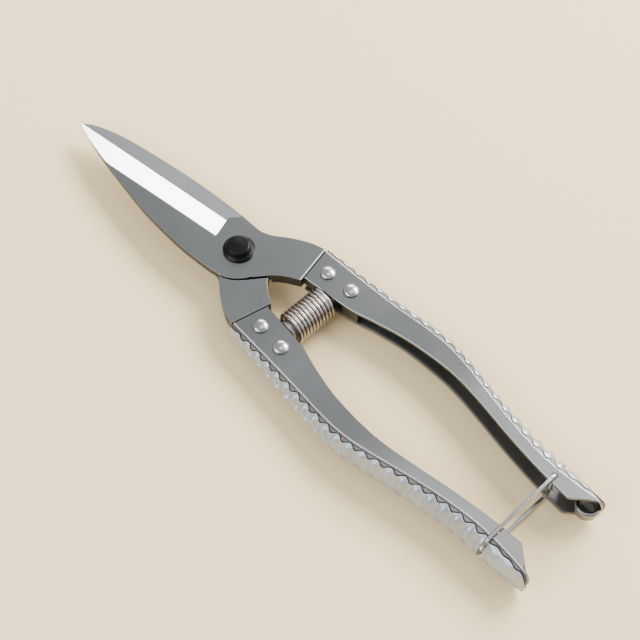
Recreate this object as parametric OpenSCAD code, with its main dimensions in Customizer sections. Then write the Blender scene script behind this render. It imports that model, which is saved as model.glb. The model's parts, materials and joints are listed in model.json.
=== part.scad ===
// Floral snips: two forged bypass blades on a pivot bolt, two pressed channel handles riveted to the
// blade tangs, a coil spring between the tangs and a wire catch across the handle ends.
// X runs from the blade tips to the handle ends, Y across the handles, Z through the pivot.

/* [Pivot] */
// Radius of the round boss around the pivot
boss_r = 10.6; // [10:0.1:11]
// Radius of the pivot bolt's shank
bolt_r = 3.0; // [2.5:0.1:3.5]
// Running clearance between the bolt and the upper blade's bore
bolt_clear = 0.05; // [0.02:0.01:0.1]
// Radius of the pivot bolt's head
bolt_head_r = 4.85; // [4.5:0.05:5.5]
// Height of the pivot bolt's head
bolt_head_h = 2.9; // [2.5:0.1:3.5]

/* [Blades] */
// Distance from the pivot to the blade tips
blade_len = 74.8; // [70:0.1:80]
// Thickness of each blade at the pivot
blade_t = 2.45; // [2.2:0.05:2.6]
// Thickness of each blade near its tip
tip_t = 1.2; // [1:0.1:1.6]
// Width of the ground bevel along the cutting edge
bevel_w = 7.3; // [6:0.1:8]
// Gap between the two blades' flat faces
lap_gap = 0.1; // [0.06:0.02:0.2]

/* [Handles] */
// Distance from the pivot to the handle ends
handle_len = 128.6; // [124:0.1:130]
// Sheet thickness of the channel handles
wall = 1.1; // [1:0.1:1.2]
// Depth of the channel at its front end
front_depth = 6.6; // [6.4:0.1:7]
// Depth of the channel where the hand holds it
rear_depth = 10.5; // [10:0.1:11]

/* [Spring] */
// Outside diameter of the coil spring
spring_d = 10.4; // [10:0.1:11]
// Diameter of the spring wire
spring_wire = 1.05; // [1:0.05:1.2]
// Number of turns
spring_turns = 11; // [9:0.5:12]

/* [Catch] */
// Diameter of the catch wire
catch_wire = 1.2; // [1.1:0.05:1.3]
// Distance of the catch from the pivot
catch_x = 114.3; // [113:0.1:116]

/* [Hidden] */

$fn = 64;

// Outlines of the right handle's flange, as distance from the pivot and distance from the centre line
FLANGE_INNER = [[14, 6.7], [28, 8.1], [38, 9.3], [46, 11.5], [56, 13.7], [68, 14.8], [76, 14.7],
                [86, 13.4], [98, 11.4], [110, 9.9], [121, 9.1], [132, 9]];
FLANGE_OUTER = [[14, 18.3], [34, 19.1], [48, 19.9], [60, 20.8], [68, 20.6], [76, 19.3], [86, 17.1],
                [96, 15.1], [108, 13.6], [118, 13.7], [128, 14.7], [132, 15.2]];
// How far the rounded back stands out beyond the flange
BACK_BULGE = [[14, 1.4], [29, 2.4], [52, 3.5], [80, 3.6], [100, 4.3], [112, 4.5], [119, 4.3],
              [125, 3], [130, 1.6]];
// Backs of the two blades, each seen with its own handle on the +Y side
UPPER_SPINE = [[-76, -2.5], [-72, -4.1], [-65, -6], [-56, -7.9], [-45, -9.6], [-33, -11.2],
               [-22, -11.9], [-10, -11.8], [0, -10.8]];
LOWER_SPINE = [[-76, 3.9], [-72, 0.8], [-65, -2.2], [-57, -4.3], [-49, -5.8], [-40, -7.3],
               [-30, -8.7], [-20, -9.7], [-10, -10.3], [0, -10.4]];
// Outer and inner edges of the shank between the boss and the handle
SHANK_OUTER = [[-4.5, 8.9], [-0.5, 9.3], [3, 10.8], [8, 14.5], [13.5, 17.5], [18.1, 18.9]];
SHANK_INNER = [[20.95, 6], [17.1, 3.7], [15.2, 2.3], [13.4, 0.45]];
// Room that the lower half of a shank leaves for the other lever's heel
LAP_RELIEF = [[0, 0], [0, 11], [9.5, 6.1], [10.7, 4.5], [14.1, 0.05], [14.1, -3], [0, -3]];

shoulder = [18.1, 18.9];
depth_start = 42;
depth_end = 88;
shoulder_gap = 0.35;
shoulder_tilt = 12.4;
tang_end = 40.6;
tang_clear = 0.1;
rivet_r = 1.6;
rivet_head_r = 2.35;
rivet_head_h = 1.15;
rivets = [[24.65, 13.45], [33.9, 14.05]];
relief_r = boss_r + 0.6;
shank_half = 3.4;
shank_under = 0.4;
lap_z = shank_half - blade_t - lap_gap / 2;
spring_x = 29.8;
spring_len = 14.8;
notch = [24.5, 35.3];
notch_y = 10.6;
stud_collar_r = 3.2;
stud_seat_y = 7.9;
stud_neck_r = 2;
stud_pin_r = 1.5;
catch_hinge_y = 11.4;
catch_leg_y = -15.3;
catch_clear = 0.15;
catch_play = 0.1;
catch_bend = 0.8;
slot_w = 1.8;
end_round = 3.5;
eye_pos = [125.2, 13.2];
eye_r = 2.3;
eye_h = 3.2;
catch_half = rear_depth / 2 + catch_clear + catch_wire / 2;
z_floor = catch_half + catch_wire / 2;
washer_r = 5.2;
washer_t = 0.7;
nut_across_flats = 10;
nut_h = z_floor + lap_z - lap_gap / 2 - blade_t - washer_t;
head_gap = 0.05;
edge_land = 0.15;
heel = [-11.2, 5.6];
heel_lean = 0.33;
root_inset = 0.02;
root_overlap = 0.6;
upper_tip_y = -2.9;
lower_tip_y = 3.1;
x_tip = -blade_len;
x_mid = (handle_len - blade_len) / 2;

// Smooth curve through points in order of x, as a cubic with finite-difference slopes
function seg(p, x, i = 0) = i >= len(p) - 2 || x < p[i + 1][0] ? i : seg(p, x, i + 1);
function slope(p, i) =
    i == 0 ? (p[1][1] - p[0][1]) / (p[1][0] - p[0][0]) :
    i == len(p) - 1 ? (p[i][1] - p[i - 1][1]) / (p[i][0] - p[i - 1][0]) :
    (p[i + 1][1] - p[i - 1][1]) / (p[i + 1][0] - p[i - 1][0]);
function cubic(p, i, w, u) =
    (2 * u * u * u - 3 * u * u + 1) * p[i][1] + (u * u * u - 2 * u * u + u) * w * slope(p, i)
    + (3 * u * u - 2 * u * u * u) * p[i + 1][1] + (u * u * u - u * u) * w * slope(p, i + 1);
function curve(p, x) =
    let(i = seg(p, x), w = p[i + 1][0] - p[i][0]) cubic(p, i, w, (x - p[i][0]) / w);
function ease(u) = let(c = min(max(u, 0), 1)) c * c * (3 - 2 * c);
function steps(a, b, n) = [for (i = [0:n]) a + (b - a) * i / n];
function reversed(list) = [for (k = [len(list) - 1:-1:0]) list[k]];

// Sections joined into one closed solid; every section has the same number of points
function loft_faces(rings, n) = concat(
    [for (i = [0:rings - 2], j = [0:n - 1]) let(k = (j + 1) % n)
        each [[i * n + j, i * n + k, (i + 1) * n + k], [i * n + j, (i + 1) * n + k, (i + 1) * n + j]]]);
module loft(sections, caps) {
    n = len(sections[0]);
    m = len(sections);
    polyhedron(
        points = [for (s = sections) each s],
        faces = concat(
            loft_faces(m, n),
            [for (c = caps) [for (k = [len(c) - 1:-1:0]) c[k]]],
            [for (c = caps) [for (k = [0:len(c) - 1]) (m - 1) * n + c[k]]]),
        convexity = 8);
}

// Everything is drawn about the pivot and then set down with its origin under the middle
module placed() {
    translate([-x_mid, 0, z_floor]) children();
}

module left_side() {
    rotate([180, 0, 0]) children();
}

// ---------- blades ----------

// The levers lap above the handles' mid-plane; a blade is drawn upwards from that lap
module at_lap() {
    translate([0, 0, lap_z]) children();
}

function edge_y(x, tip_y) = heel[1] + (tip_y - heel[1]) * (x - heel[0]) / (x_tip - heel[0]);
function face_z(x) =
    lap_gap / 2 + tip_t + (blade_t - tip_t) * ease(0.25 + 0.75 * (x - x_tip) / (heel[0] - x_tip));
function blade_section(x, spine, tip_y) =
    let(
        e = edge_y(x, tip_y) - root_inset,
        across = e - curve(spine, x),
        xs = x + heel_lean * across,
        s = curve(spine, xs) + root_inset,
        w = min(bevel_w, 0.96 * (e - s)),
        z0 = lap_gap / 2 + root_inset,
        ze = z0 + edge_land,
        zb = ze + (face_z(x) - root_inset - ze) * w / bevel_w)
    [[x, e, z0], [x, e, ze], [x + heel_lean * w, e - w, zb], [xs, s, zb], [xs, s, z0]];

// Blade from just inside its root to its tip, with the flat inner face down
module blade(spine, tip_y) {
    loft([for (x = steps(heel[0] + root_overlap, x_tip, 26)) blade_section(x, spine, tip_y)],
         [[0, 1, 2, 3, 4]]);
}

// Outer edge of the shank from x0 to the shoulder, then its inner edge back towards the boss
function shank_edges(x0, n) =
    concat([for (x = steps(x0, shoulder[0], n)) [x, curve(SHANK_OUTER, x)]], SHANK_INNER);

// The plate that laps the other lever: a quarter of the round boss, blade root and shank
module lever_plate(spine, bore_r) {
    x_root = heel[0] + heel_lean * (heel[1] - curve(spine, heel[0]));
    translate([0, 0, lap_gap / 2]) linear_extrude(blade_t) difference() {
        union() {
            intersection() {
                circle(boss_r);
                translate([0, -boss_r]) square(boss_r);
            }
            polygon(concat(
                [heel, [-9.6, 7.7], SHANK_OUTER[0], [0, 0]],
                [for (x = steps(0, x_root, 4)) [x, curve(spine, x)]]));
            polygon(concat([[SHANK_OUTER[0][0], 0]], shank_edges(SHANK_OUTER[0][0], 20),
                           [[11.6, -2], [10, -4], [0, -4]]));
        }
        circle(bore_r);
    }
}

// The rest of the shank between two heights, cleared around the other lever's boss
module shank(z0, z1) {
    translate([0, 0, z0]) linear_extrude(z1 - z0) difference() {
        polygon(shank_edges(2, 14));
        circle(relief_r);
        polygon(LAP_RELIEF);
    }
}

// The tongue inside the handle, with its rivet holes, the spring's notch and the stud's socket
module tang() {
    xs = steps(20, tang_end, 8);
    half = front_depth / 2 - wall;
    difference() {
        translate([0, 0, -half]) linear_extrude(2 * half) difference() {
            polygon(concat(
                [[17.5, 17.8]],
                [for (x = xs) [x, curve(FLANGE_OUTER, x)]],
                [for (x = reversed(xs)) [x, curve(FLANGE_INNER, x) + tang_clear]],
                [[18, 8]]));
            for (p = rivets) translate(p) circle(rivet_r);
            translate([notch[0], 0]) square([notch[1] - notch[0], notch_y]);
        }
        translate([spring_x, 6, 0]) rotate([-90, 0, 0]) cylinder(h = 8.4, r = stud_pin_r);
        // In front of the notch the tongue is no thicker than the shank
        translate([0, 0, -half - 1]) cube([notch[0] + 0.1, notch_y, half + 1 - shank_under]);
    }
}

module upper_blade() {
    color("#8f9493") placed() {
        at_lap() {
            blade(UPPER_SPINE, upper_tip_y);
            lever_plate(UPPER_SPINE, bolt_r + bolt_clear);
        }
        shank(-shank_under, lap_z + lap_gap);
        tang();
    }
}

module lower_blade() {
    color("#8a8f8e") placed() {
        at_lap() left_side() {
            blade(LOWER_SPINE, lower_tip_y);
            lever_plate(LOWER_SPINE, bolt_r);
        }
        left_side() {
            shank(-shank_half, -lap_z + lap_gap);
            tang();
        }
    }
}

// ---------- handles ----------

function half_depth(x) =
    (front_depth + (rear_depth - front_depth) * ease((x - depth_start) / (depth_end - depth_start))) / 2;
// The flanges end in a slanting cut
function flange_in(x) =
    let(cut = 9.2 + (x - 121) * 0.86) min(max(curve(FLANGE_INNER, x), cut), curve(FLANGE_OUTER, x) - 0.2);
function half_section(x, t) =
    let(h = half_depth(x) - t, y = curve(FLANGE_OUTER, x), b = curve(BACK_BULGE, x) - t)
    concat([[x, flange_in(x), h]], [for (a = steps(90, -90, 12)) [x, y + b * cos(a), h * sin(a)]],
           [[x, flange_in(x), -h]]);
function channel_section(x) = concat(half_section(x, 0), reversed(half_section(x, wall)));
// The channel's cross-section is a thin C, so its ends are closed strip by strip
function channel_caps(n) = [for (j = [0:n / 2 - 2]) [j, j + 1, n - 2 - j, n - 1 - j]];

module channel() {
    xs = steps(16, handle_len, 40);
    sections = [for (x = xs) channel_section(x)];
    loft(sections, channel_caps(len(sections[0])));
}

module handle() {
    difference() {
        channel();
        // The front is cut square to the shank's shoulder
        translate([shoulder[0] + shoulder_gap, shoulder[1], -10]) rotate([0, 0, shoulder_tilt])
            translate([-20, -30, 0]) cube([20, 40, 20]);
        for (p = rivets) translate([p[0], p[1], -10]) cylinder(h = 20, r = rivet_r);
        translate([catch_x, catch_hinge_y, -10]) cylinder(h = 20, r = catch_wire / 2 + catch_play);
        // Slot across the back for the catch
        translate([catch_x - slot_w / 2, -catch_leg_y - slot_w / 2, -10]) cube([slot_w, 10, 20]);
        // Rounded corners where the back ends
        for (m = [0, 1]) mirror([0, 0, m])
            translate([handle_len - end_round, 0, rear_depth / 2 - end_round]) difference() {
                translate([0, 5, 0]) cube([10, 20, 10]);
                rotate([-90, 0, 0]) cylinder(h = 30, r = end_round);
            }
    }
}

// Eye to hang the snips by, rolled in the end of the right handle's back
module hang_eye() {
    rim_r = eye_r + wall;
    translate([eye_pos[0], eye_pos[1], -eye_h / 2]) linear_extrude(eye_h) difference() {
        union() {
            circle(rim_r);
            translate([-rim_r, 0]) square([2 * rim_r, 3.4]);
        }
        circle(eye_r);
    }
}

module right_handle() {
    color("#a3a8a7") placed() {
        handle();
        hang_eye();
    }
}

module left_handle() {
    color("#9a9f9e") placed() left_side() handle();
}

// ---------- fasteners ----------

module rivet(p) {
    top = front_depth / 2;
    translate([p[0], p[1], 0]) rotate_extrude() polygon(concat(
        [[0, -top - rivet_head_h]],
        [for (a = steps(0, 90, 8)) [rivet_head_r * sin(a), -top - rivet_head_h * cos(a)]],
        [[rivet_r, -top], [rivet_r, top]],
        [for (a = steps(90, 0, 8)) [rivet_head_r * sin(a), top + rivet_head_h * cos(a)]],
        [[0, top + rivet_head_h]]));
}

module right_front_rivet() {
    color("#d0d3d2") placed() rivet(rivets[0]);
}

module right_rear_rivet() {
    color("#d0d3d2") placed() rivet(rivets[1]);
}

module left_front_rivet() {
    color("#d0d3d2") placed() left_side() rivet(rivets[0]);
}

module left_rear_rivet() {
    color("#d0d3d2") placed() left_side() rivet(rivets[1]);
}

module pivot_bolt() {
    rim_h = 0.8;
    cap_r = bolt_head_r - 0.6;
    round_r = 1.2;
    seat = shank_half + head_gap;
    color("#1c1e21") placed() rotate_extrude() polygon(concat(
        [[0, 0.3 - z_floor], [bolt_r - 0.4, 0.3 - z_floor], [bolt_r, 0.7 - z_floor], [bolt_r, seat],
         [bolt_head_r, seat], [bolt_head_r, seat + rim_h], [cap_r, seat + rim_h + 0.3]],
        [for (a = steps(0, 90, 8))
            [cap_r - round_r * (1 - cos(a)), seat + bolt_head_h - 0.25 - round_r * (1 - sin(a))]],
        [[0, seat + bolt_head_h]]));
}

module pivot_washer() {
    color("#b9bcbb") placed() translate([0, 0, nut_h - z_floor]) difference() {
        cylinder(h = washer_t, r = washer_r);
        translate([0, 0, -1]) cylinder(h = washer_t + 2, r = bolt_r);
    }
}

module pivot_nut() {
    color("#b0b3b2") placed() translate([0, 0, -z_floor]) difference() {
        cylinder(h = nut_h, r = nut_across_flats / 2 / cos(30), $fn = 6);
        translate([0, 0, -1]) cylinder(h = nut_h + 2, r = bolt_r);
    }
}

// ---------- spring ----------

function coil_centre(turn) =
    let(pitch = (spring_len - spring_wire) / spring_turns, r = (spring_d - spring_wire) / 2)
    [spring_x + r * cos(360 * turn), pitch * (turn - spring_turns / 2), r * sin(360 * turn)];
function coil_ring(turn) =
    let(c = coil_centre(turn), a = 360 * turn)
    [for (b = [0:60:300]) c + spring_wire / 2 * (cos(b) * [cos(a), 0, sin(a)] + sin(b) * [0, 1, 0])];

module coil_spring() {
    per_turn = 14;
    color("#b4a89c") placed()
        loft([for (k = [0:spring_turns * per_turn]) coil_ring(k / per_turn)], [[0, 1, 2, 3, 4, 5]]);
}

// A turned stud pressed into the tang's inner edge, its collar inside the coil
module spring_stud() {
    neck = notch_y - stud_seat_y;
    translate([spring_x, stud_seat_y, 0]) rotate([90, 0, 0]) rotate_extrude() polygon([
        [0, -6], [stud_pin_r, -6], [stud_pin_r, -neck], [stud_neck_r, -neck], [stud_neck_r, 0],
        [stud_collar_r, 0], [stud_collar_r, 1.7], [stud_collar_r - 0.7, 2.4], [0, 2.4]]);
}

module right_spring_stud() {
    color("#9b9d9c") placed() spring_stud();
}

module left_spring_stud() {
    color("#9b9d9c") placed() left_side() spring_stud();
}

// ---------- catch ----------

// Straight length of the catch wire, from its middle along Z
module catch_rod(length) {
    translate([0, 0, -length / 2]) cylinder(h = length, r = catch_wire / 2);
}

// Quarter bend of the catch wire at the loop's upper corner on the +Y side
module catch_corner() {
    rotate([90, 0, 90]) rotate_extrude(angle = 90) translate([catch_bend, 0]) circle(catch_wire / 2);
}

module wire_catch() {
    y_mid = (catch_hinge_y + catch_leg_y) / 2;
    half_y = (catch_hinge_y - catch_leg_y) / 2;
    color("#c9cccb") placed() translate([catch_x, y_mid, 0])
        for (m = [0, 1]) mirror([0, m, 0]) {
            translate([0, half_y, 0]) catch_rod(2 * (catch_half - catch_bend));
            for (k = [0, 1]) mirror([0, 0, k]) {
                translate([0, half_y - catch_bend, catch_half - catch_bend]) catch_corner();
                translate([0, (half_y - catch_bend) / 2, catch_half]) rotate([90, 0, 0])
                    catch_rod(half_y - catch_bend);
            }
        }
}

upper_blade();
lower_blade();
right_handle();
left_handle();
right_front_rivet();
right_rear_rivet();
left_front_rivet();
left_rear_rivet();
pivot_bolt();
pivot_washer();
pivot_nut();
coil_spring();
right_spring_stud();
left_spring_stud();
wire_catch();
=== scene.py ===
"""Floral snips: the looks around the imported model.

Distances are in millimetres from the pivot unless a name says otherwise; place() turns them into the row frame.
"""
import json
import math

import bmesh
import bpy
from mathutils import Euler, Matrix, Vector


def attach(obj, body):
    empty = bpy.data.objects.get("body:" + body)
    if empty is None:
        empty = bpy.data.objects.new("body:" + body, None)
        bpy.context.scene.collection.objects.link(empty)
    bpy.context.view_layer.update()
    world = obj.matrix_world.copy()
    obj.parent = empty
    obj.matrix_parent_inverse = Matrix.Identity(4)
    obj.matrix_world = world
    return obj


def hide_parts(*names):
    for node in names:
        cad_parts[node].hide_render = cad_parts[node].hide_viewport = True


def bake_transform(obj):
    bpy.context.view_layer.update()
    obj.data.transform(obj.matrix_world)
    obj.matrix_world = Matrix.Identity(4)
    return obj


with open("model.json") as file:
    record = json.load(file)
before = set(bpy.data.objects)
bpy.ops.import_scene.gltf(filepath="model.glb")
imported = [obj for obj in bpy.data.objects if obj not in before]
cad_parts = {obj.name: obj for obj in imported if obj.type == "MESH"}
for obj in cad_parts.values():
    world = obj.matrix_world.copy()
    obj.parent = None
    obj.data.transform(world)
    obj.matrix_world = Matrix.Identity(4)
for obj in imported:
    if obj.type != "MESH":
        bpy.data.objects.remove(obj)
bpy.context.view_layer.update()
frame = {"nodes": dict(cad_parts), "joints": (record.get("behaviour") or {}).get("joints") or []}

MM = 0.001
LEFT, RIGHT, CATCH = "left_lever", "right_lever", "catch"
PIVOT = Vector(next(j for j in frame["joints"] if j["name"] == "blade_pivot")["pos_m"])

# Handle: distance from the pivot, then distance from the centre line, as in the design
FLANGE_INNER = [(14, 6.7), (28, 8.1), (38, 9.3), (46, 11.5), (56, 13.7), (68, 14.8), (76, 14.7),
                (86, 13.4), (98, 11.4), (110, 9.9), (121, 9.1), (132, 9)]
FLANGE_OUTER = [(14, 18.3), (34, 19.1), (48, 19.9), (60, 20.8), (68, 20.6), (76, 19.3), (86, 17.1),
                (96, 15.1), (108, 13.6), (118, 13.7), (128, 14.7), (132, 15.2)]
BACK_BULGE = [(14, 1.4), (29, 2.4), (52, 3.5), (80, 3.6), (100, 4.3), (112, 4.5), (119, 4.3),
              (125, 3), (130, 1.6)]
SHEET = 1.1
FRONT_DEPTH, REAR_DEPTH = 6.6, 10.5
DEPTH_START, DEPTH_END = 42, 88
HANDLE_START, HANDLE_END = 18.45, 128.6
FLANGE_CUT_X, FLANGE_CUT_Y, FLANGE_CUT_SLOPE = 121, 9.2, 0.86
SHOULDER_Y, SHOULDER_TILT, SHOULDER_FADE = 18.9, math.radians(12.4), 14
END_ROUND, END_LIP = 3.5, 1.2
KNUCKLE_PITCH, KNUCKLE_HOLLOW_X, KNUCKLE_PLAIN = 4.345, 28.4, 0.6
RIVETS = [(24.65, 13.45), (33.9, 14.05)]

# Rows of points in half a ring of the handle: the flange's edge, its flat face and the rim beside the back
EDGE_POINTS, FLAT_POINTS, RIM_POINTS = 3, 7, 7
RIM_START = EDGE_POINTS + FLAT_POINTS
BACK_START = RIM_START + RIM_POINTS
GROOVE_START, CREVICE_START = BACK_START - 4, BACK_START - 2

# Slot in the back and holes for the catch's wire: the hinge holes, and their twins in the left handle
SLOT_HALF, SLOT_FLOOR = 0.68, 14.4
HOLE_R, TWIN_R = 1.0, 0.7
HOLE_ROW, HOLE_CELLS = EDGE_POINTS + 1, 4

# Blades: the shank's half thickness and the two ends of its shoulder, then the shoulder's chamfer
SHANK_HALF = 3.4
SHOULDER = [(18.1, 18.9), (20.95, 6)]
CHAMFER, LEFT_CHAMFER_SHARE = 0.62, 0.45
SOFTENED_DEG = 22
# The blade's loft joins its plate at ROOT_X; its ground bevel lies beyond BLADE_X
ROOT_X, BLADE_X = -13, -8
PLATE_LEVELS = (3.4, 0.95, 0.85, -1.6)

SPRING_X, SPRING_R, SPRING_WIRE, SPRING_LEN, SPRING_TURNS = 29.8, 4.675, 1.05, 14.8, 11
STUD_SEAT_Y, STUD_NECK = 7.9, 2.7
CATCH_X, CATCH_HINGE_Y, CATCH_LEG_Y, CATCH_HALF, CATCH_WIRE = 114.3, 11.4, -15.3, 6.0, 1.2
EYE_X, EYE_Y, EYE_R, EYE_HEIGHT = 125.2, 13.2, 2.3, 3.2


# ---------- small helpers ----------

def place(x, y, z=0.0, side=1):
    """A point in the row frame; side -1 mirrors it from the right handle's side to the left's."""
    return PIVOT + Vector((x, side * y, z)) * MM


def curve(points, x):
    """Smooth curve through points in order of x: a cubic with finite-difference slopes, as in the design."""
    i = 0
    while i < len(points) - 2 and x >= points[i + 1][0]:
        i += 1

    def slope(k):
        a, b = max(k - 1, 0), min(k + 1, len(points) - 1)
        return (points[b][1] - points[a][1]) / (points[b][0] - points[a][0])

    (x0, y0), (x1, y1) = points[i], points[i + 1]
    w = x1 - x0
    u = (x - x0) / w
    return ((2 * u**3 - 3 * u**2 + 1) * y0 + (u**3 - 2 * u**2 + u) * w * slope(i)
            + (3 * u**2 - 2 * u**3) * y1 + (u**3 - u**2) * w * slope(i + 1))


def ease(u):
    u = min(max(u, 0.0), 1.0)
    return u * u * (3 - 2 * u)


def steps(a, b, n):
    return [a + (b - a) * k / n for k in range(n + 1)]


def mesh_object(name, points, faces, sharp_deg=35):
    """A mesh piece with smooth shading, kept sharp where faces meet at more than sharp_deg."""
    mesh = bpy.data.meshes.new(name)
    mesh.from_pydata([tuple(p) for p in points], [], faces)
    bm = bmesh.new()
    bm.from_mesh(mesh)
    bmesh.ops.recalc_face_normals(bm, faces=bm.faces)
    bm.to_mesh(mesh)
    bm.free()
    smooth(mesh, sharp_deg)
    piece = bpy.data.objects.new(name, mesh)
    bpy.context.scene.collection.objects.link(piece)
    return piece


def smooth(mesh, sharp_deg):
    mesh.polygons.foreach_set("use_smooth", [True] * len(mesh.polygons))
    mesh.set_sharp_from_angle(angle=math.radians(sharp_deg))


def ring_faces(rings, count, closed_path=False):
    """Quads between rings of count points each, one ring after another."""
    last = rings if closed_path else rings - 1
    return [(i * count + j, i * count + (j + 1) % count,
             (i + 1) % rings * count + (j + 1) % count, (i + 1) % rings * count + j)
            for i in range(last) for j in range(count)]


def tube(name, path, radius, sides=16, closed=False):
    """A round wire along path, with flat ends where it isn't closed."""
    points = []
    count = len(path)
    normal = None
    for k, p in enumerate(path):
        ahead = path[(k + 1) % count] if closed or k < count - 1 else p
        behind = path[k - 1] if closed or k > 0 else p
        along = (ahead - behind).normalized()
        if normal is None:
            normal = along.orthogonal().normalized()
        normal = (normal - along * normal.dot(along)).normalized()
        across = along.cross(normal)
        points += [p + radius * (math.cos(a) * normal + math.sin(a) * across)
                   for a in (2 * math.pi * j / sides for j in range(sides))]
    faces = ring_faces(count, sides, closed)
    if not closed:
        faces += [tuple(range(sides - 1, -1, -1)), tuple(range((count - 1) * sides, count * sides))]
    return mesh_object(name, points, faces)


def lathe(name, profile, centre, axis="Z", sides=72):
    """A turned piece: profile is (radius, height) from its axis, starting and ending on the axis."""
    points, rings = [], []
    for r, h in profile:
        if r == 0:
            rings.append([len(points)])
            points.append(turned(0, h, 0, centre, axis))
        else:
            rings.append(list(range(len(points), len(points) + sides)))
            points += [turned(r, h, 2 * math.pi * j / sides, centre, axis) for j in range(sides)]
    faces = []
    for low, high in zip(rings, rings[1:]):
        for j in range(sides):
            k = (j + 1) % sides
            face = [low[j % len(low)], low[k % len(low)], high[k % len(high)], high[j % len(high)]]
            faces.append(tuple(dict.fromkeys(face)))
    return mesh_object(name, points, faces)


def turned(r, h, angle, centre, axis):
    u, v = r * math.cos(angle) * MM, r * math.sin(angle) * MM
    offset = Vector((u, v, h * MM)) if axis == "Z" else Vector((u, h * MM, v))
    return centre + offset


def add_piece(piece, body, slot, material, *nodes):
    """The piece rides on a body and takes a material if it has none, and stands for the nodes named; slot is not
    used.
    """
    if not piece.data.materials:
        piece.data.materials.append(material)
    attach(piece, body)
    if nodes:
        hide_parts(*nodes)
    return piece


# ---------- materials ----------

class Nodes:
    """A short way to build a material's node tree."""

    def __init__(self, name):
        self.material = bpy.data.materials.new(name)
        self.material.use_nodes = True
        self.tree = self.material.node_tree
        self.shader = next(n for n in self.tree.nodes if n.type == "BSDF_PRINCIPLED")

    def add(self, kind, **values):
        node = self.tree.nodes.new("ShaderNode" + kind)
        for key, value in values.items():
            if key in node.inputs:
                node.inputs[key].default_value = value
            else:
                setattr(node, key, value)
        return node

    def link(self, a, b):
        self.tree.links.new(a, b)

    def noise(self, scale_xyz, scale, detail):
        """Noise in object space, stretched by scale_xyz."""
        mapping = self.add("Mapping")
        mapping.inputs["Scale"].default_value = scale_xyz
        self.link(self.add("TexCoord").outputs["Object"], mapping.inputs["Vector"])
        node = self.add("TexNoise", Scale=scale, Detail=detail)
        self.link(mapping.outputs["Vector"], node.inputs["Vector"])
        return node.outputs["Fac"]

    def spread(self, value, low, high):
        """Noise's usual range stretched to low..high."""
        node = self.add("MapRange")
        for key, number in (("From Min", 0.3), ("From Max", 0.7), ("To Min", low), ("To Max", high)):
            node.inputs[key].default_value = number
        self.link(value, node.inputs["Value"])
        return node.outputs["Result"]

    def tint(self, value, dark, light):
        node = self.add("Mix", data_type="RGBA")
        node.inputs["A"].default_value = (*dark, 1)
        node.inputs["B"].default_value = (*light, 1)
        self.link(value, node.inputs["Factor"])
        self.link(node.outputs["Result"], self.shader.inputs["Base Color"])

    def bump(self, value, strength, distance_mm):
        node = self.add("Bump", Strength=strength, Distance=distance_mm * MM)
        self.link(value, node.inputs["Height"])
        self.link(node.outputs["Normal"], self.shader.inputs["Normal"])


EVEN = (1, 1, 1)
ALONG_X = (0.03, 1, 1)
ROUGH_SPREAD = 0.012


def steel(name, dark, light, rough, grain, grain_bump):
    """Metal with a directional grain, patches of duller metal and a little unevenness."""
    n = Nodes(name)
    n.shader.inputs["Metallic"].default_value = 1.0
    lines = n.noise(grain, 5000, 3)
    patches = n.noise(EVEN, 60, 2)
    n.tint(n.spread(patches, 0, 1), dark, light)
    mixed = n.add("Mix", data_type="FLOAT")
    mixed.inputs["Factor"].default_value = 0.5
    n.link(lines, mixed.inputs["A"])
    n.link(patches, mixed.inputs["B"])
    uneven = n.spread(mixed.outputs["Result"], rough - ROUGH_SPREAD, rough + ROUGH_SPREAD)
    n.link(uneven, n.shader.inputs["Roughness"])
    if grain_bump:
        n.bump(lines, grain_bump, 0.004)
    return n.material


def blasted(name, dark, light, rough, metallic):
    """Matt blasted metal: fine pits and no direction."""
    n = Nodes(name)
    n.shader.inputs["Metallic"].default_value = metallic
    pits = n.noise(EVEN, 3200, 4)
    patches = n.noise(EVEN, 140, 3)
    n.tint(n.spread(patches, 0, 1), dark, light)
    n.link(n.spread(patches, rough - 0.05, rough + 0.05), n.shader.inputs["Roughness"])
    n.bump(pits, 0.35, 0.03)
    return n.material


def black_oxide(name):
    """Semi-gloss black finish, a little lighter in patches."""
    n = Nodes(name)
    n.shader.inputs["Specular IOR Level"].default_value = 0.13
    n.shader.inputs["Coat Weight"].default_value = 0.04
    n.shader.inputs["Coat Roughness"].default_value = 0.2
    patches = n.noise(EVEN, 350, 4)
    n.tint(n.spread(patches, 0, 1), (0.001, 0.001, 0.0015), (0.002, 0.0025, 0.0035))
    n.link(n.spread(patches, 0.26, 0.42), n.shader.inputs["Roughness"])
    n.bump(n.noise(EVEN, 2500, 3), 0.15, 0.02)
    return n.material


def plain_floor(name):
    n = Nodes(name)
    n.shader.inputs["Base Color"].default_value = (0.88, 0.69, 0.40, 1)
    n.shader.inputs["Roughness"].default_value = 0.9
    n.shader.inputs["Specular IOR Level"].default_value = 0.1
    return n.material


blade_steel = steel("blade_face", (0.215, 0.226, 0.222), (0.24, 0.251, 0.247), 0.24, ALONG_X, 0)
lower_face = steel("lower_blade_face", (0.43, 0.445, 0.45), (0.47, 0.485, 0.49), 0.24, ALONG_X, 0)
ground_steel = steel("ground_bevel", (0.80, 0.81, 0.82), (0.86, 0.87, 0.88), 0.24, (0.5, 0.12, 1), 0.15)
# Near-black paint on the blades' steep side walls: painted shade
plate_wall_painted_shade = steel("plate_wall_painted_shade", (0.075, 0.077, 0.075), (0.11, 0.112, 0.11), 0.42, ALONG_X, 0.2)
handle_flat = steel("handle_flat", (0.2, 0.209, 0.206), (0.225, 0.235, 0.232), 0.24, ALONG_X, 0)
# Light warm paint on the raised border line beside the back: painted highlight
rim_painted_highlight = steel("rim_painted_highlight", (0.36, 0.35, 0.32), (0.46, 0.44, 0.41), 0.5, ALONG_X, 0.3)
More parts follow.
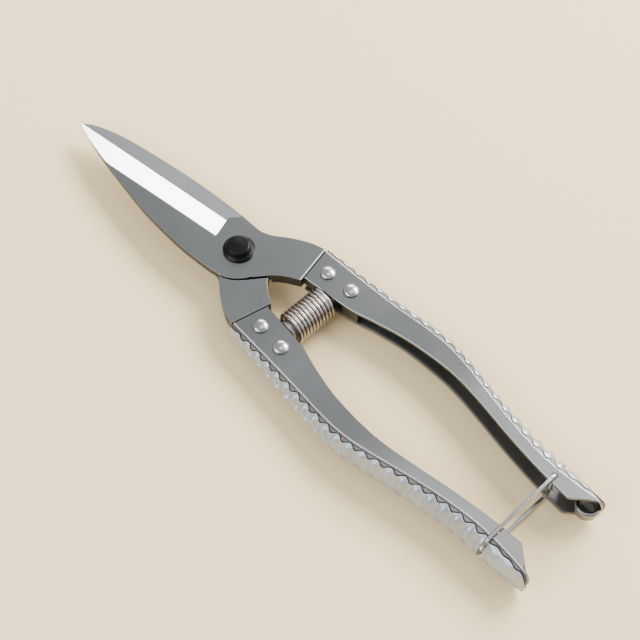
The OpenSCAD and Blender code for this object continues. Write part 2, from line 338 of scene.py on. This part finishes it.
# The crevice at the back's foot is painted near-black: painted shade of the step down to the back
crevice_painted_shade = steel("crevice_painted_shade", (0.06, 0.06, 0.058), (0.09, 0.09, 0.087), 0.5, ALONG_X, 0.2)
handle_groove = steel("handle_groove", (0.13, 0.132, 0.128), (0.17, 0.17, 0.165), 0.4, ALONG_X, 0.2)
handle_inside = steel("handle_inside", (0.16, 0.158, 0.152), (0.22, 0.217, 0.21), 0.45, ALONG_X, 0.2)
handle_back = blasted("handle_back", (0.35, 0.38, 0.425), (0.43, 0.46, 0.505), 0.44, 0.7)
rivet_steel = steel("rivet_steel", (0.34, 0.34, 0.335), (0.41, 0.41, 0.405), 0.22, EVEN, 0.4)
nut_steel = steel("nut_steel", (0.5, 0.5, 0.48), (0.66, 0.66, 0.63), 0.36, (1, 1, 0.2), 0.3)
spring_steel = steel("spring_steel", (0.31, 0.27, 0.24), (0.47, 0.43, 0.395), 0.26, (1, 0.2, 1), 0.3)
stud_steel = steel("stud_steel", (0.42, 0.4, 0.37), (0.58, 0.55, 0.5), 0.38, EVEN, 0.3)
catch_steel = steel("catch_steel", (0.42, 0.43, 0.43), (0.54, 0.55, 0.55), 0.18, (1, 0.1, 1), 0.2)
bolt_black = black_oxide("bolt_black")

# Materials of a handle and of a blade, in the order of their indices on the mesh
FLAT, BACK, INSIDE, GROOVE, RIM_PAINTED_HIGHLIGHT, CREVICE_PAINTED_SHADE = range(6)
HANDLE_SKINS = (handle_flat, handle_back, handle_inside, handle_groove, rim_painted_highlight, crevice_painted_shade)
PLATE, BEVEL, LOWER_FACE, PLATE_WALL_SHADE = range(4)
BLADE_SKINS = (blade_steel, ground_steel, lower_face, plate_wall_painted_shade)


# ---------- handles ----------

def half_depth(x):
    rise = ease((x - DEPTH_START) / (DEPTH_END - DEPTH_START))
    return (FRONT_DEPTH + (REAR_DEPTH - FRONT_DEPTH) * rise) / 2


def flange_in(x):
    cut = FLANGE_CUT_Y + (x - FLANGE_CUT_X) * FLANGE_CUT_SLOPE
    return min(max(curve(FLANGE_INNER, x), cut), curve(FLANGE_OUTER, x) - 0.2)


def knuckle(x):
    """1 on a knuckle of the scalloped back, 0 in a hollow, fading out at both ends."""
    wave = 0.5 - 0.5 * math.cos(2 * math.pi * (x - KNUCKLE_HOLLOW_X) / KNUCKLE_PITCH)
    strength = ease((x - 18) / 8) * (1 - 0.6 * ease((x - 112) / 6))
    return KNUCKLE_PLAIN + (wave - KNUCKLE_PLAIN) * strength


def sheared(x, y):
    """The front end is cut along the shank's shoulder; the slant dies out along the handle."""
    slant = 1 - ease((x - HANDLE_START) / SHOULDER_FADE)
    return x + slant * (SHOULDER_Y - y) * math.tan(SHOULDER_TILT)


def end_height(x):
    """Half the height of the back, with rounded corners where it ends."""
    full = half_depth(x)
    past = x - (HANDLE_END - END_ROUND)
    if past <= 0:
        return full
    return full - END_ROUND + math.sqrt(max(END_ROUND**2 - past**2, 0.0))


def flat_rows(y0, y1):
    """Points across the flange's flat face, some of them across the wire's hole where there is room."""
    if y0 < CATCH_HINGE_Y - HOLE_R and y1 > CATCH_HINGE_Y + HOLE_R:
        return [y0] + steps(CATCH_HINGE_Y - HOLE_R, CATCH_HINGE_Y + HOLE_R, HOLE_CELLS) + [y1]
    return steps(y0, y1, FLAT_POINTS - 1)


def handle_ring(x):
    """Cross-section of the channel: its outside from one flange edge to the other, then its inside back."""
    fo, h, bulge = curve(FLANGE_OUTER, x), half_depth(x), curve(BACK_BULGE, x)
    fi = flange_in(sheared(x, flange_in(x)))
    down = 1 - knuckle(x)
    y_back, z_back = fo + 0.65 + 1.05 * down, h - 0.35 - 0.5 * down
    y_apex = fo + bulge
    flat_y = flat_rows(min(fi + 0.14, fo - 0.45), fo - 0.32)
    edge = [(fi, h - 0.45 * SHEET), (fi, h - 0.28), (fi + 0.04, h - 0.08)]
    # A raised border line painted lighter as a highlight, then a groove whose width follows the knuckles, then a
    # crevice painted near-black as shade
    rim = [(fo - 0.22, h + 0.04), (fo - 0.05, h + 0.05), (fo + 0.1, h - 0.03), (fo + 0.14, h - 0.2),
           (fo + 0.2, h - 0.4), (max(y_back - 0.4, fo + 0.22), h - 0.45), (y_back - 0.13, h - 0.85)]
    angles = [math.radians(a) for a in range(0, 90, 9)]
    dent = [0.8 * down * math.sin(2 * a) for a in angles]
    back = [(y_back + (y_apex - y_back) * math.sin(a) - d, z_back * math.cos(a) - d)
            for a, d in zip(angles, dent)]
    outer = edge + [(y, h) for y in flat_y] + rim + back
    y_in, z_in = fo + 0.3, h - SHEET
    inner = [(fi, h - 0.6 * SHEET), (fi, z_in + 0.12), (fi + 0.04, z_in + 0.04)]
    inner += [(y, z_in) for y in flat_y] + [(min(y, y_in), z_in) for y, _ in rim]
    inner += [(y_in + (fo + bulge - SHEET - y_in) * math.sin(a), z_in * math.cos(a)) for a in angles]
    squeeze = end_height(x) / h
    whole = []
    for half, apex in ((outer, y_apex), (inner, fo + bulge - SHEET)):
        half = [(y, z * squeeze) for y, z in half]
        whole.append(half + [(apex, 0.0)] + [(y, -z) for y, z in reversed(half)])
    return whole[0] + whole[1][::-1]


def round_holes(rings, first, last, radius):
    """Snaps the outline of the wire's hole to a circle, in both flanges, outside and inside."""
    count = len(rings[0])
    outside = count // 2
    end_row = HOLE_ROW + HOLE_CELLS
    for i in range(first, last + 1):
        for j in range(HOLE_ROW, end_row + 1):
            if i in (first, last) or j in (HOLE_ROW, end_row):
                for k in (j, outside - 1 - j, outside + j, count - 1 - j):
                    x, y, z = rings[i][k]
                    dx, dy = x - CATCH_X, y - CATCH_HINGE_Y
                    grow = radius / math.hypot(dx, dy)
                    rings[i][k] = (CATCH_X + dx * grow, CATCH_HINGE_Y + dy * grow, z)


def handle_skin(j, outside, count):
    """The material of the cells in row j of the rings."""
    if outside + EDGE_POINTS <= j < count - EDGE_POINTS - 1:
        return INSIDE
    depth = min(j, outside - 2 - j)
    for start, skin in ((BACK_START, BACK), (CREVICE_START, CREVICE_PAINTED_SHADE), (GROOVE_START, GROOVE), (RIM_START, RIM_PAINTED_HIGHLIGHT)):
        if depth >= start:
            return skin
    return FLAT


def handle_shell(name, side):
    """The pressed channel with its scalloped back, its slot and the wire's holes."""
    slot = steps(CATCH_X - SLOT_HALF, CATCH_X + SLOT_HALF, HOLE_CELLS)
    xs = steps(HANDLE_START, slot[0], 330)[:-1] + slot + steps(slot[-1], HANDLE_END - END_LIP, 40)[1:]
    xs += [HANDLE_END - END_LIP * (1 - math.sin(a)) for a in steps(0, math.pi / 2, 8)[1:]]
    first, last = xs.index(slot[0]), xs.index(slot[-1])
    rings = [[(sheared(x, y), y, z) for y, z in handle_ring(x)] for x in xs]
    count = len(rings[0])
    outside = count // 2
    slot_rows = [j for j in range(outside) if rings[first][j][1] > SLOT_FLOOR]
    low, high = slot_rows[0], slot_rows[-1]
    end_row = HOLE_ROW + HOLE_CELLS
    round_holes(rings, first, last, HOLE_R if side > 0 else TWIN_R)
    points = [place(*p, side) for ring in rings for p in ring]

    def at(i, j):
        return i * count + j % count

    def through(i, j):
        """A point of the outside and the one behind it on the inside."""
        return at(i, j), at(i, count - 1 - j)

    hollow = set()
    for i in range(first, last):
        for j in range(low, high):
            hollow |= {(i, j), (i, count - 2 - j)}
        for j in range(HOLE_ROW, end_row):
            hollow |= {(i, j), (i, outside - 2 - j), (i, outside + j), (i, count - 2 - j)}
    faces, skins = [], []
    for i in range(len(xs) - 1):
        for j in range(count):
            if (i, j) not in hollow:
                skins.append(handle_skin(j, outside, count))
                faces.append((at(i, j), at(i, j + 1), at(i + 1, j + 1), at(i + 1, j)))

    # Walls of the slot and of the holes, then the two ends
    walls = []
    for start, end in ((low, high), (HOLE_ROW, end_row), (outside - 1 - end_row, outside - 1 - HOLE_ROW)):
        walls += [((i, j), (i, j + 1)) for i in (first, last) for j in range(start, end)]
        walls += [((i, j), (i + 1, j)) for i in range(first, last) for j in (start, end)]
    walls += [((i, j), (i, j + 1)) for i in (0, len(xs) - 1) for j in range(outside - 1)]
    for a, b in walls:
        faces.append(through(*a) + through(*b)[::-1])
        skins.append(FLAT)

    piece = mesh_object(name, points, faces, 38)
    for material in HANDLE_SKINS:
        piece.data.materials.append(material)
    piece.data.polygons.foreach_set("material_index", skins)
    borders = {EDGE_POINTS, RIM_START - 1, RIM_START, RIM_START + 2, BACK_START - 1, BACK_START}
    borders |= {outside - 1 - j for j in borders}
    for edge in piece.data.edges:
        (i, j), (k, m) = (divmod(v, count) for v in edge.vertices)
        if j == m and j in borders and abs(i - k) == 1:
            edge.use_edge_sharp = True
    weighted = piece.modifiers.new("flat faces stay flat", "WEIGHTED_NORMAL")
    weighted.keep_sharp = True
    return piece


def handle(name, side, body, node):
    return add_piece(handle_shell(name, side), body, "handle_steel", handle_flat, node)


def hang_eye():
    """Eye rolled in the end of the right handle's back."""
    rim, web, chamfer, half, sides = EYE_R + SHEET, 3.4, 0.18, EYE_HEIGHT / 2, 64
    angles = [2 * math.pi * k / sides for k in range(sides)]
    bore = [(EYE_R + chamfer, -half), (EYE_R, chamfer - half), (EYE_R, half - chamfer), (EYE_R + chamfer, half)]
    points = [place(EYE_X + r * math.cos(a), EYE_Y + r * math.sin(a), z) for r, z in bore for a in angles]
    for inset, z in ((chamfer, half), (0, half - chamfer), (0, chamfer - half), (chamfer, -half)):
        for a in angles:
            reach = rim
            if math.sin(a) > 0:
                reach = min(rim / max(abs(math.cos(a)), 1e-6), web / math.sin(a))
            reach -= inset
            points.append(place(EYE_X + reach * math.cos(a), EYE_Y + reach * math.sin(a), z))
    return mesh_object("right_hang_eye", points, ring_faces(8, sides, True), 50)


handle("right_handle_shell", 1, RIGHT, "right_handle")
handle("left_handle_shell", -1, LEFT, "left_handle")
add_piece(hang_eye(), RIGHT, "handle_steel", handle_flat)


# ---------- blades, from the design's own solids with softened edges ----------

def on_shoulder(point):
    """True on the upper edge of a shank's end, which has a broad chamfer."""
    p = (point - PIVOT) / MM
    (x0, y0), (x1, y1) = SHOULDER
    y = abs(p.y)
    off_line = p.x - x0 - (x1 - x0) * (y - y0) / (y1 - y0)
    return abs(off_line) < 0.03 and abs(p.z - SHANK_HALF) < 0.02 and y > y1 - 0.1


def snap_to_plates(bm):
    """Puts points that are a hair off a plate's level on it, so that its face is one flat face."""
    for v in bm.verts:
        p = (v.co - PIVOT) / MM
        if p.x > ROOT_X:
            for level in PLATE_LEVELS:
                if abs(p.z - level) < 0.03:
                    v.co.z = PIVOT.z + level * MM


def blade_skin(face, side):
    """The material of a blade's face, from its tilt and its place; steep walls take a near-black material as
    painted shade.
    """
    tilt = math.degrees(math.acos(min(abs(face.normal.z), 1)))
    on_blade = face.calc_center_median().x < PIVOT.x + BLADE_X * MM
    if on_blade and 5 < tilt < 30:
        return BEVEL
    if on_blade and side < 0 and face.normal.z > 0.99:
        return LOWER_FACE
    return PLATE_WALL_SHADE if tilt > 60 else PLATE


def finished(node, body, slot, skins, soften_mm, side=1):
    """The CAD node's mesh with its edges softened. With a blade's skins its faces take their own materials."""
    is_blade = len(skins) > 1
    mesh = frame["nodes"][node].data.copy()
    mesh.materials.clear()
    for material in skins:
        mesh.materials.append(material)
    bm = bmesh.new()
    bm.from_mesh(mesh)
    bmesh.ops.remove_doubles(bm, verts=bm.verts, dist=1e-6)
    if is_blade:
        snap_to_plates(bm)
    bmesh.ops.dissolve_degenerate(bm, dist=2e-6, edges=bm.edges)
    bmesh.ops.dissolve_limit(bm, angle_limit=math.radians(0.3), verts=bm.verts, edges=bm.edges)
    bm.normal_update()
    weights = bm.edges.layers.float.new("bevel_weight_edge")
    for edge in bm.edges:
        if len(edge.link_faces) == 2 and edge.calc_face_angle() > math.radians(SOFTENED_DEG):
            broad = all(on_shoulder(v.co) for v in edge.verts)
            edge[weights] = (1.0 if side > 0 else LEFT_CHAMFER_SHARE) if broad else soften_mm / CHAMFER
    for face in bm.faces:
        face.material_index = blade_skin(face, side) if is_blade else 0
    bm.to_mesh(mesh)
    bm.free()
    piece = bpy.data.objects.new(node + "_finished", mesh)
    bpy.context.scene.collection.objects.link(piece)
    smooth(mesh, 6)
    bevel = piece.modifiers.new("soften", "BEVEL")
    bevel.width = CHAMFER * MM
    bevel.segments = 2
    bevel.limit_method = "WEIGHT"
    bevel.harden_normals = True
    bevel.material = 0
    bevel.use_clamp_overlap = False
    return add_piece(piece, body, slot, skins[0], node)


finished("upper_blade", RIGHT, "blade_steel", BLADE_SKINS, 0.1)
finished("lower_blade", LEFT, "blade_steel", BLADE_SKINS, 0.1, -1)
finished("pivot_nut", LEFT, "nut_steel", (nut_steel,), 0.25)
finished("pivot_washer", LEFT, "nut_steel", (nut_steel,), 0.12)


# ---------- turned pieces ----------

def dome(radius, height, base, side_h):
    """Profile points of a dome between its rim and the axis, above a straight side of height side_h."""
    return [(radius * math.cos(a), base + side_h + (height - side_h) * math.sin(a))
            for a in steps(0, math.pi / 2, 10)[1:-1]]


def pivot_bolt():
    """Bolt with a collar and a rounded cap on its head."""
    seat, end = SHANK_HALF + 0.05, 0.3 - PIVOT.z / MM
    shaft, head, cap, rise, rounding = 3.0, 4.85, 3.85, 2.9, 0.95
    profile = [(0, end), (shaft - 0.4, end), (shaft, end + 0.4), (shaft, seat), (head - 0.12, seat),
               (head, seat + 0.1), (head, seat + 0.6), (head - 0.12, seat + 0.72),
               (cap + 0.28, seat + 1.0), (cap + 0.2, seat + 1.15)]
    profile += [(cap - rounding + rounding * math.cos(a), seat + rise - 1.2 + rounding * math.sin(a))
                for a in steps(0, math.pi / 2, 8)]
    profile += [(1.6, seat + rise - 0.1), (0, seat + rise)]
    return lathe("pivot_bolt_turned", profile, place(0, 0), sides=96)


def rivet(name, x, y, side):
    """Rivet with a domed head at each end, undercut where it meets the handle."""
    top, shaft, head, rise = FRONT_DEPTH / 2, 1.6, 2.35, 1.15
    upper = [(head - 0.4, top), (head - 0.03, top + 0.16), (head, top + 0.2)]
    upper += dome(head, rise, top, 0.25) + [(0, top + rise)]
    lower = [(r, -z) for r, z in reversed(upper)]
    profile = lower + [(shaft, -top), (shaft, top)] + upper
    return lathe(name, profile, place(x, y, 0, side), sides=48)


def spring_stud(name, side):
    """Stud that holds an end of the spring: a pin in the tang, a neck and a collar inside the coils."""
    pin, pin_end, neck, collar = 1.5, 6, 2.0, 3.2
    profile = [(0, pin_end), (pin, pin_end), (pin, STUD_NECK), (neck, STUD_NECK), (neck, 0),
               (collar - 0.15, 0), (collar, -0.15), (collar, -1.6), (collar - 0.15, -1.8),
               (collar - 0.75, -2.4), (1.2, -2.4), (0.9, -2.2), (0, -2.2)]
    profile = [(r, side * h) for r, h in profile]
    return lathe(name, profile, place(SPRING_X, STUD_SEAT_Y, 0, side), axis="Y", sides=48)


add_piece(pivot_bolt(), LEFT, "bolt_black", bolt_black, "pivot_bolt")
for hand, side, body in (("right", 1, RIGHT), ("left", -1, LEFT)):
    for spot, (rivet_x, rivet_y) in zip(("front", "rear"), RIVETS):
        node = f"{hand}_{spot}_rivet"
        add_piece(rivet(node + "_head", rivet_x, rivet_y, side), body, "rivet_steel", rivet_steel, node)
    add_piece(spring_stud(f"{hand}_stud_turned", side), body, "stud_steel", stud_steel, f"{hand}_spring_stud")


# ---------- spring and catch ----------

def coil_spring():
    """Compression spring with closed end turns."""
    per_turn, closed_turns = 40, 0.9
    closed_pitch = SPRING_WIRE * 1.03
    open_turns = SPRING_TURNS - 2 * closed_turns
    open_pitch = (SPRING_LEN - SPRING_WIRE - 2 * closed_turns * closed_pitch) / open_turns
    path, y = [], -(SPRING_LEN - SPRING_WIRE) / 2
    for k in range(SPRING_TURNS * per_turn + 1):
        turn = k / per_turn
        a = 2 * math.pi * turn
        path.append(place(SPRING_X - SPRING_R * math.cos(a), y, -SPRING_R * math.sin(a)))
        near_end = turn < closed_turns or turn > SPRING_TURNS - closed_turns
        y += (closed_pitch if near_end else open_pitch) / per_turn
    return tube("coil_spring_wire", path, SPRING_WIRE / 2 * MM, 14)


def wire_catch():
    """Closed wire loop with four tight bends."""
    bend, y_mid, half_y = 0.8, (CATCH_HINGE_Y + CATCH_LEG_Y) / 2, (CATCH_HINGE_Y - CATCH_LEG_Y) / 2
    corners = [(y_mid + sy * (half_y - bend), sz * (CATCH_HALF - bend))
               for sy, sz in ((1, 1), (-1, 1), (-1, -1), (1, -1))]
    path = []
    for quarter, (y, z) in enumerate(corners):
        turn = quarter * math.pi / 2
        path += [(y + bend * math.cos(turn + a), z + bend * math.sin(turn + a)) for a in steps(0, math.pi / 2, 8)]
        y0, z0 = path[-1]
        y1, z1 = corners[(quarter + 1) % 4]
        end = turn + math.pi / 2
        y1, z1 = y1 + bend * math.cos(end), z1 + bend * math.sin(end)
        path += [(y0 + (y1 - y0) * t, z0 + (z1 - z0) * t) for t in steps(0, 1, 6)[1:-1]]
    return tube("wire_catch_bent", [place(CATCH_X, y, z) for y, z in path], CATCH_WIRE / 2 * MM, 20, True)


spring = coil_spring()
spring.data.materials.append(spring_steel)
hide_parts("coil_spring")
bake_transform(spring)
add_piece(wire_catch(), CATCH, "catch_steel", catch_steel, "wire_catch")


# ---------- stage, light and camera ----------

def floor():
    reach = 2.0
    corners = [(-reach, -reach, 0), (reach, -reach, 0), (reach, reach, 0), (-reach, reach, 0)]
    plane = mesh_object("floor", corners, [(0, 1, 2, 3)])
    plane.data.materials.append(plain_floor("floor_plain"))


def softbox(name, azimuth, elevation, distance, width, height, watts, color):
    """An area light aimed at the origin. Sizes are in metres; azimuth 0 is +X and 90 is +Y."""
    light = bpy.data.lights.new(name, "AREA")
    light.shape = "RECTANGLE"
    light.size, light.size_y = width, height
    light.energy = watts
    light.color = color
    lamp = bpy.data.objects.new(name, light)
    a, e = math.radians(azimuth), math.radians(elevation)
    direction = Vector((math.cos(a) * math.cos(e), math.sin(a) * math.cos(e), math.sin(e)))
    lamp.location = direction * distance
    lamp.rotation_euler = direction.to_track_quat("Z", "Y").to_euler()
    bpy.context.scene.collection.objects.link(lamp)


def studio():
    """Soft even surroundings and five softboxes."""
    world = bpy.data.worlds.new("studio")
    world.use_nodes = True
    background = world.node_tree.nodes["Background"]
    background.inputs["Color"].default_value = (0.95, 0.97, 1.0, 1)
    background.inputs["Strength"].default_value = 0.78
    bpy.context.scene.world = world
    softbox("key", 87, 43, 1.1, 0.66, 0.5, 26.5, (1.0, 0.985, 0.97))
    softbox("bevel_strip", 133, 28, 1.0, 0.45, 0.3, 5.0, (1.0, 1.0, 1.0))
    softbox("overhead", 115, 77, 1.1, 0.35, 0.35, 1.0, (1.0, 1.0, 1.0))
    softbox("window", 44, 30, 1.0, 0.3, 0.6, 3.5, (0.97, 0.99, 1.0))
    softbox("side_fill", 258, 46, 1.1, 0.8, 0.5, 9.5, (0.93, 0.97, 1.0))


def camera():
    """Looks down from beyond the handles' ends, on the left handle's side; distances in metres."""
    tilt, turn, distance = math.radians(32.0), math.radians(46.55), 0.3478
    aim = place(34.91, 0.49, 3.3)
    data = bpy.data.cameras.new("camera")
    data.lens, data.sensor_width = 67.5, 36.0
    data.clip_start = 0.01
    view = bpy.data.objects.new("camera", data)
    view.rotation_euler = Euler((tilt, 0, turn))
    back = view.rotation_euler.to_matrix() @ Vector((0, 0, 1))
    view.location = aim + back * distance
    bpy.context.scene.collection.objects.link(view)
    bpy.context.scene.camera = view


floor()
studio()
camera()
